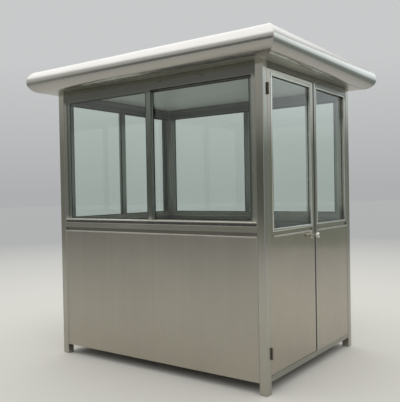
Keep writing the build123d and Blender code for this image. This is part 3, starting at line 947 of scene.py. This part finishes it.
@dataclass(frozen=True)
class DoorPane:
    """A pane of the door wall, with its rubber seals and the bright half-round bead round its opening.

    The opening lies inside the box of a node by the inset. The bead begins outside the opening, on the
    outer face of the node that holds the pane, and sinks its foot into it.
    """

    node: str
    inset: float
    depth: float
    body: str
    holder: str
    start: float
    width: float
    foot: float
    proud: float = 0.004
    lip: tuple[Pair, ...] = ((-0.001, 0.0), (0.005, 0.0), (0.005, 0.0006), (0.003, 0.0020), (-0.001, 0.0026))

    @property
    def opening(self) -> Opening:
        """The glass opening as its lowest and highest (x, z) corner on the wall."""
        low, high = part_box(self.node)
        return (low[1] + self.inset, low[2] + self.inset), (high[1] - self.inset, high[2] - self.inset)

    def seals(self, name: str) -> None:
        """The rubber seals on both faces of the pane."""
        pane_seals(name, self.opening, Wall.RIGHT, self.depth, self.lip, self.body)

    def bright_ring(self, name: str) -> None:
        """The bright bead round the opening.

        Args:
            name: The piece's name.
        """
        middle = (-self.start - self.width / 2, Wall.RIGHT.depth_of(self.holder))
        section = half_ellipse(self.width / 2, self.proud, self.foot) * (1.0, -1.0) + middle
        ring = framed_ring(self.opening, section, Wall.RIGHT)
        solid_piece(name, [ring], Finish.BEAD, self.body)


@dataclass
class DoorSet:
    """The door leaf, its pane, bead and hinges, the jamb, and the fixed light beside it."""

    leaf_pane: DoorPane = DoorPane("door_glass_bead", 0.007, 0.023, "door", "door_leaf", 0.007, 0.014, 0.001)
    side_pane: DoorPane = DoorPane("side_light_glass", 0.0037, 0.026, "booth", "side_light_frame", 0.0005,
                                   0.010, 0.004)
    leaf_gap: float = 0.010
    gap_seal: float = 0.0085
    bulb_depth: float = 0.005
    bulb_middle: float = 0.006
    gap_lip: float = 0.006
    lip_start: float = 0.003
    lip_sunk: float = 0.001
    lip_proud: float = 0.0008

    def lock_gap_seal(self) -> None:
        """The dark rubber strip on the jamb that fills the gap beside the leaf's lock edge.

        Its section is a bulb in the gap with a thin lip over the jamb's front edge, carried straight up.
        """
        edge, front = LEAF_HIGH[1] + self.leaf_gap, Wall.RIGHT.depth_of("door_jamb")
        bulb = arc((edge, front + self.bulb_middle), -self.gap_seal, self.bulb_depth, -90.0, 90.0, 11)
        back, face = front + self.lip_sunk, front - self.lip_proud
        tip, start = edge + self.gap_lip, edge - self.lip_start
        section = np.concatenate((bulb, [(edge, back), (tip, back), (tip, face), (start, face)]))
        seal = strip(Wall.RIGHT, (0.0, 0.0, LEAF_LOW[2]), (0.0, 0.0, LEAF_HIGH[2]), section, 5)
        solid_piece("lock_gap_seal", [seal], Finish.SEAL)

    def build(self) -> None:
        """Dresses the door wall and adds seals and rings."""
        dress(Finish.LEAF, "door_leaf")
        dress(Finish.POST, "door_jamb")
        dress(Finish.LIGHT, "side_light_frame")
        dress(Finish.BEAD, "door_glass_bead")
        dress(Finish.GLASS, "door_glass", "side_light_glass")
        dress(Finish.HINGE, "door_hinges_on_post", "door_hinges_on_leaf")
        self.lock_gap_seal()
        self.leaf_pane.seals("door_pane_seal")
        self.side_pane.seals("side_light_seal")
        self.leaf_pane.bright_ring("door_glass_ring")
        self.side_pane.bright_ring("side_light_ring")


@dataclass
class RoofCap:
    """The flat roof with its rolled edge, ground-down corner welds, soffit and deck.

    The soffit is the level of the roof's lower side, the radius is that of the half-round edge, and the
    overhang is how far the roof stands out over the posts.
    """

    soffit: float = EDGE_LOW[2]
    radius: float = (EDGE_HIGH[2] - EDGE_LOW[2]) / 2
    overhang: float = -EDGE_LOW[1] - HALF_DEPTH
    sheet: float = 0.002
    flange: float = 0.050
    mitre_gap: float = 0.0006
    wave: float = 0.0005
    second_wave: float = 0.6
    wave_rates: Pair = (5.1, 11.3)
    fade_rate: float = 6.0
    weld_radius: float = 0.005
    weld_proud: float = 0.0006
    weld_start: float = -84.0
    weld_steps: int = 64
    weld_sides: int = 24
    ripple: float = 0.04
    ripple_turn: float = 2.2
    arc_steps: int = 41
    run_steps: int = 61

    def edge_section(self) -> tuple[np.ndarray, np.ndarray]:
        """The closed section of the rolled edge, and the outward direction at each of its points.

        The outside goes round the half circle from the soffit to the top and on along the flange. The
        inside comes back along the same line, one sheet's thickness in.

        Returns:
            Arrays of (k, 2) points (y, z) and (k, 2) directions.
        """
        angle = np.radians(np.linspace(-90.0, 90.0, self.arc_steps))
        way = np.stack((-np.cos(angle), np.sin(angle)), axis=1)
        way = np.concatenate((way, [(0.0, 1.0), (0.0, 1.0)]))
        base = np.tile((self.radius - self.overhang, self.soffit + self.radius), (len(way), 1))
        base[-2:, 0] += (self.flange / 2, self.flange)
        outside = base + way * self.radius
        inside = base + way * (self.radius - self.sheet)
        return np.concatenate((outside, inside[::-1])), np.concatenate((way, way[::-1]))

    def edge(self, wall: Wall) -> None:
        """One side of the rolled edge with slight hand-rolled waves, in place of its CAD node.

        A section point at y runs from one mitre to the other: its half length is the outermost half
        length less its distance from the outermost line. The waves push it inwards, against its outward
        direction, by a sum of two sines of x that fades to zero at the mitres.

        Args:
            wall: The wall below this side.
        """
        section, way = self.edge_section()
        half = wall.half_length + self.overhang - self.mitre_gap / 2
        share = np.linspace(-1.0, 1.0, self.run_steps)
        x = share * (half - (section[:, :1] + self.overhang))
        phase = {Wall.FRONT: 0.3, Wall.RIGHT: 1.9, Wall.BACK: 3.1, Wall.LEFT: 4.4}[wall]
        fade = np.clip((1.0 - np.abs(share)) * self.fade_rate, 0.0, 1.0)
        long, short = (np.sin(rate * x + turn) for rate, turn in zip(self.wave_rates, (phase, 2 * phase)))
        push = self.wave * fade * (long + self.second_wave * short - (1.0 + self.second_wave))
        points = xyz(x, section[:, :1] + way[:, :1] * push, section[:, 1:] + way[:, 1:] * push)
        row = np.arange(len(section) // 2 - 1)
        other = len(section) - 1 - row
        first_end = np.stack((row, row + 1, other - 1, other), axis=1) * self.run_steps
        faces = grid_quads(len(section), self.run_steps, True, False) + first_end.tolist()
        faces += (first_end[:, ::-1] + self.run_steps - 1).tolist()
        piece = solid_piece(f"rolled_edge_{wall.key}", [(place_on_wall(points, wall), faces)], Finish.ROOF,
                            sharp_angle=35.0)
        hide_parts(f"roof_edge_{wall.key}")

    def corner_weld(self, side_x: float, side_y: float) -> Shell:
        """The ground weld bead along one mitre.

        The path is the half circle seen along the diagonal: its inset from the corner is the radius times
        one less the cosine. The bead is a rippled rod sunk below it, so that it stands equally proud of
        both sides: the depth is the rod's radius less that much, over the cosine of half the angle between
        the two sides, which is the root of half of one plus the sine squared.

        Args:
            side_x: 1 at the right end and -1 at the left end.
            side_y: 1 at the back and -1 at the front.

        Returns:
            Points and faces.
        """
        angle = np.radians(np.linspace(self.weld_start, 90.0, self.weld_steps))
        inset = self.radius * (1.0 - np.cos(angle))
        x = side_x * (Wall.FRONT.half_length + self.overhang - inset)
        y = side_y * (Wall.RIGHT.half_length + self.overhang - inset)
        path = xyz(x, y, self.soffit + self.radius + self.radius * np.sin(angle))
        along = np.gradient(path, axis=0)
        along /= np.linalg.norm(along, axis=1, keepdims=True)
        across = np.array((-side_y, side_x, 0.0)) / np.sqrt(2.0)
        out = np.cross(along, across)
        out *= np.sign((out * (side_x, side_y, 0.0)).sum(axis=1, keepdims=True) + 1e-9)
        sunk = (self.weld_radius - self.weld_proud) / np.sqrt((1.0 + np.sin(angle) ** 2) / 2.0)
        path -= out * sunk[:, None]
        ripple = 1.0 + self.ripple * np.sin(np.arange(len(path)) * self.ripple_turn)
        last = 360.0 - 360.0 / self.weld_sides
        section = arc((0.0, 0.0), self.weld_radius, self.weld_radius, 0.0, last, self.weld_sides)
        return swept(path, across * ripple[:, None], out, section)

    def build(self) -> None:
        """Makes the edges and welds and dresses soffit, core and deck."""
        for wall in Wall:
            self.edge(wall)
        shells = [self.corner_weld(side_x, side_y) for side_x in (-1.0, 1.0) for side_y in (-1.0, 1.0)]
        solid_piece("roof_corner_welds", shells, Finish.ROOF, sharp_angle=60.0)
        dress(Finish.SOFFIT, "roof_soffit")
        dress(Finish.FOAM, "roof_core")
        dress(Finish.DECK, "roof_deck")


@dataclass
class HeadFixings:
    """The two small oval cover plates on the front head rail."""

    places: Pair = (0.117, 0.502)
    level: float = 2.192
    half_width: float = 0.017
    half_height: float = 0.008
    rail_depth: float = 0.003
    proud: float = 0.006
    crown: float = 0.97
    rings: int = 10
    segments: int = 40

    def plate(self, x: float) -> Shell:
        """One domed oval plate.

        The formula is an ellipse round the plate's middle whose size shrinks as it comes forward: at a
        share s of the way out the outline is the base outline times the fourth root of 1 - s to the fourth.

        Args:
            x: The middle of the plate along the wall.

        Returns:
            Points and faces.
        """
        share = np.linspace(0.0, self.crown, self.rings)[:, None]
        angle = np.linspace(0.0, 2 * np.pi, self.segments, endpoint=False)
        size = (1.0 - share ** 4) ** 0.25
        points = xyz(x + self.half_width * size * np.cos(angle), self.rail_depth - self.proud * share,
                     self.level + self.half_height * size * np.sin(angle))
        return place_on_wall(points, Wall.FRONT), tube_faces(self.rings, self.segments)

    def build(self) -> None:
        """Makes both plates as one piece."""
        solid_piece("head_rail_fixings", [self.plate(x) for x in self.places], Finish.LIGHT,
                    sharp_angle=60.0)


# Studio

@dataclass(frozen=True)
class ReflectedCard:
    """A tall card, curved about the booth and out of the picture, that only reflections see.

    It has a foot, a darker band at eye level and a pale upper part, which run into each other between
    the four levels. The band's tone changes to that of its end between two values of x. From the
    start of the gleam to the card's top it grows brighter, by the gain.
    """

    name: str
    span: Pair
    levels: tuple[float, float, float, float]
    foot: Colour
    low: Colour
    high: Colour
    end: Colour
    ends: Pair
    height: float
    gleam: float
    gain: float
    radius: float = 10.0
    rows: int = 9
    columns: int = 33

    def build(self) -> None:
        """Makes the card.

        The formula puts each point at the card's radius, at an angle from the front towards the left.
        """
        bench = Bench(bpy.data.materials.new(self.name))
        z = bench.axis("Z")
        first, second, third, fourth = self.levels
        band = bench.blend(bench.spread(bench.axis("X"), *self.ends), linear(self.low), linear(self.end))
        colour = bench.blend(bench.spread(z, first, second), linear(self.foot), band)
        colour = bench.blend(bench.spread(z, third, fourth), colour, linear(self.high))
        strength = bench.spread(z, self.gleam, self.height, 1.0, self.gain)
        material = bench.finish(bench.add("Emission", {"Color": colour, "Strength": strength}).outputs[0])
        material.cycles.emission_sampling = "NONE"
        angle = np.radians(np.linspace(*self.span, self.columns))
        height = np.linspace(0.0, self.height, self.rows)[:, None]
        points = xyz(-self.radius * np.sin(angle), -self.radius * np.cos(angle), height)
        card = new_object(self.name, points, grid_quads(self.rows, self.columns, False, False), material)
        card.visible_camera = card.visible_transmission = False
        card.visible_diffuse = card.visible_shadow = False


@dataclass
class Studio:
    """Plain pale floor, soft sky-like light and the camera at the photograph's angle."""

    floor_colour: Colour = (192, 189, 181)
    floor_far: Colour = (147, 147, 146)
    floor_fade: Pair = (2.5, 12.0)
    floor_roughness: float = 0.9
    floor_rings: tuple[float, float, float, float] = (2.0, 6.0, 20.0, 60.0)
    floor_segments: int = 96
    horizon: Triple = (0.425, 0.43, 0.435)
    middle_sky: Triple = (0.58, 0.585, 0.59)
    middle_rise: Pair = (0.0, 0.22)
    high_sky: Triple = (1.55, 1.58, 1.61)
    high_rise: Pair = (0.34, 0.58)
    lamp_place: Triple = (0.0, -0.6, 6.5)
    lamp_aim: Triple = (0.0, -0.3, 0.0)
    lamp_size: float = 5.5
    lamp_watts: float = 30.0
    camera_place: Triple = (2.8505, -4.0444, 1.3691)
    azimuth: float = 35.7586
    pitch: float = 0.9708
    roll: float = -1.0316
    focal_pixels: float = 571.65
    image_width: float = 400.0
    sensor: float = 36.0

    def floor(self) -> None:
        """A large round floor, from rings of points about the booth, slightly deeper in tone far away."""
        bench = Bench(bpy.data.materials.new("studio_floor"))
        apart = bench.add("VectorMath", {0: bench.place()}, operation="LENGTH").outputs["Value"]
        far = bench.spread(apart, *self.floor_fade)
        colour = bench.blend(far, linear(self.floor_colour), linear(self.floor_far))
        material = bench.finish(bench.surface(Base_Color=colour, Roughness=self.floor_roughness))
        radius = np.array(self.floor_rings)[:, None]
        angle = np.linspace(0.0, 2 * np.pi, self.floor_segments, endpoint=False)
        points = xyz(radius * np.cos(angle), radius * np.sin(angle), 0.0)
        faces = grid_quads(len(radius), len(angle), False, True) + [list(range(len(angle)))]
        ground = new_object("studio_floor", points, faces, material)

    def sky(self) -> None:
        """A world that is grey at the horizon, paler a little higher and bright overhead."""
        bench = Bench(bpy.data.worlds.new("studio_sky"))
        z = bench.axis("Z", "Generated")
        colour: object = (*self.horizon, 1.0)
        for rise, tone in ((self.middle_rise, self.middle_sky), (self.high_rise, self.high_sky)):
            colour = bench.blend(bench.spread(z, *rise), colour, (*tone, 1.0))
        back = bench.add("Background", {"Color": colour, "Strength": 1.0})
        bpy.context.scene.world = bench.finish(back.outputs[0])

    def cards(self) -> None:
        """One card for the front steel, paler at its left end, and one for the door wall."""
        ReflectedCard("front_card", (8.0, 72.0), (0.0, 0.8, 2.3, 3.6), (176, 175, 170), (104, 108, 101),
                      (194, 195, 193), (146, 149, 143), (-6.4, -7.6), 5.2, 4.0, 1.0).build()
        ReflectedCard("door_card", (185.0, 250.0), (0.0, 0.7, 2.45, 3.35), (158, 162, 152), (142, 152, 146),
                      (233, 243, 246), (142, 152, 146), (0.0, 1.0), 6.0, 3.6, 1.7).build()

    def lamp(self) -> None:
        """A square soft lamp overhead, which reflections don't see."""
        light = bpy.data.lights.new("overhead_softbox", "AREA")
        light.shape, light.size, light.energy = "SQUARE", self.lamp_size, self.lamp_watts
        lamp = bpy.data.objects.new("overhead_softbox", light)
        lamp.location = self.lamp_place
        lamp.visible_glossy = False
        aim = Vector(self.lamp_aim) - Vector(self.lamp_place)
        lamp.rotation_euler = aim.to_track_quat("-Z", "Y").to_euler()
        bpy.context.scene.collection.objects.link(lamp)

    def camera(self) -> None:
        """The camera, from its place, azimuth, pitch, roll and focal length in pixels."""
        heading, down, roll = radians(self.azimuth), radians(self.pitch), radians(self.roll)
        forward = Vector((-sin(heading) * cos(down), cos(heading) * cos(down), -sin(down)))
        right = Vector((cos(heading), sin(heading), 0.0))
        up = right.cross(forward)
        level_right = right * cos(roll) + up * sin(roll)
        level_up = -right * sin(roll) + up * cos(roll)
        turn = Matrix((level_right, level_up, -forward)).transposed().to_4x4()
        data = bpy.data.cameras.new("photo_camera")
        data.sensor_fit, data.sensor_width = "HORIZONTAL", self.sensor
        data.lens = self.focal_pixels / self.image_width * self.sensor
        camera = bpy.data.objects.new("photo_camera", data)
        camera.matrix_world = Matrix.Translation(self.camera_place) @ turn
        bpy.context.scene.collection.objects.link(camera)
        bpy.context.scene.camera = camera

    def build(self) -> None:
        """Sets up floor, light, camera and the view transform."""
        self.floor()
        self.sky()
        self.cards()
        self.lamp()
        self.camera()
        bpy.context.scene.view_settings.view_transform = "Standard"


def main() -> None:
    """Builds every sub-assembly in order, then the studio."""
    logging.basicConfig(level=logging.INFO, format="%(name)s: %(message)s")
    BoothShell().build()
    for wall in WINDOW_WALLS:
        SlidingWindow(wall).build()
    DoorSet().build()
    KnobLock().build()
    RoofCap().build()
    HeadFixings().build()
    Studio().build()


if __name__ == "__main__":
    main()
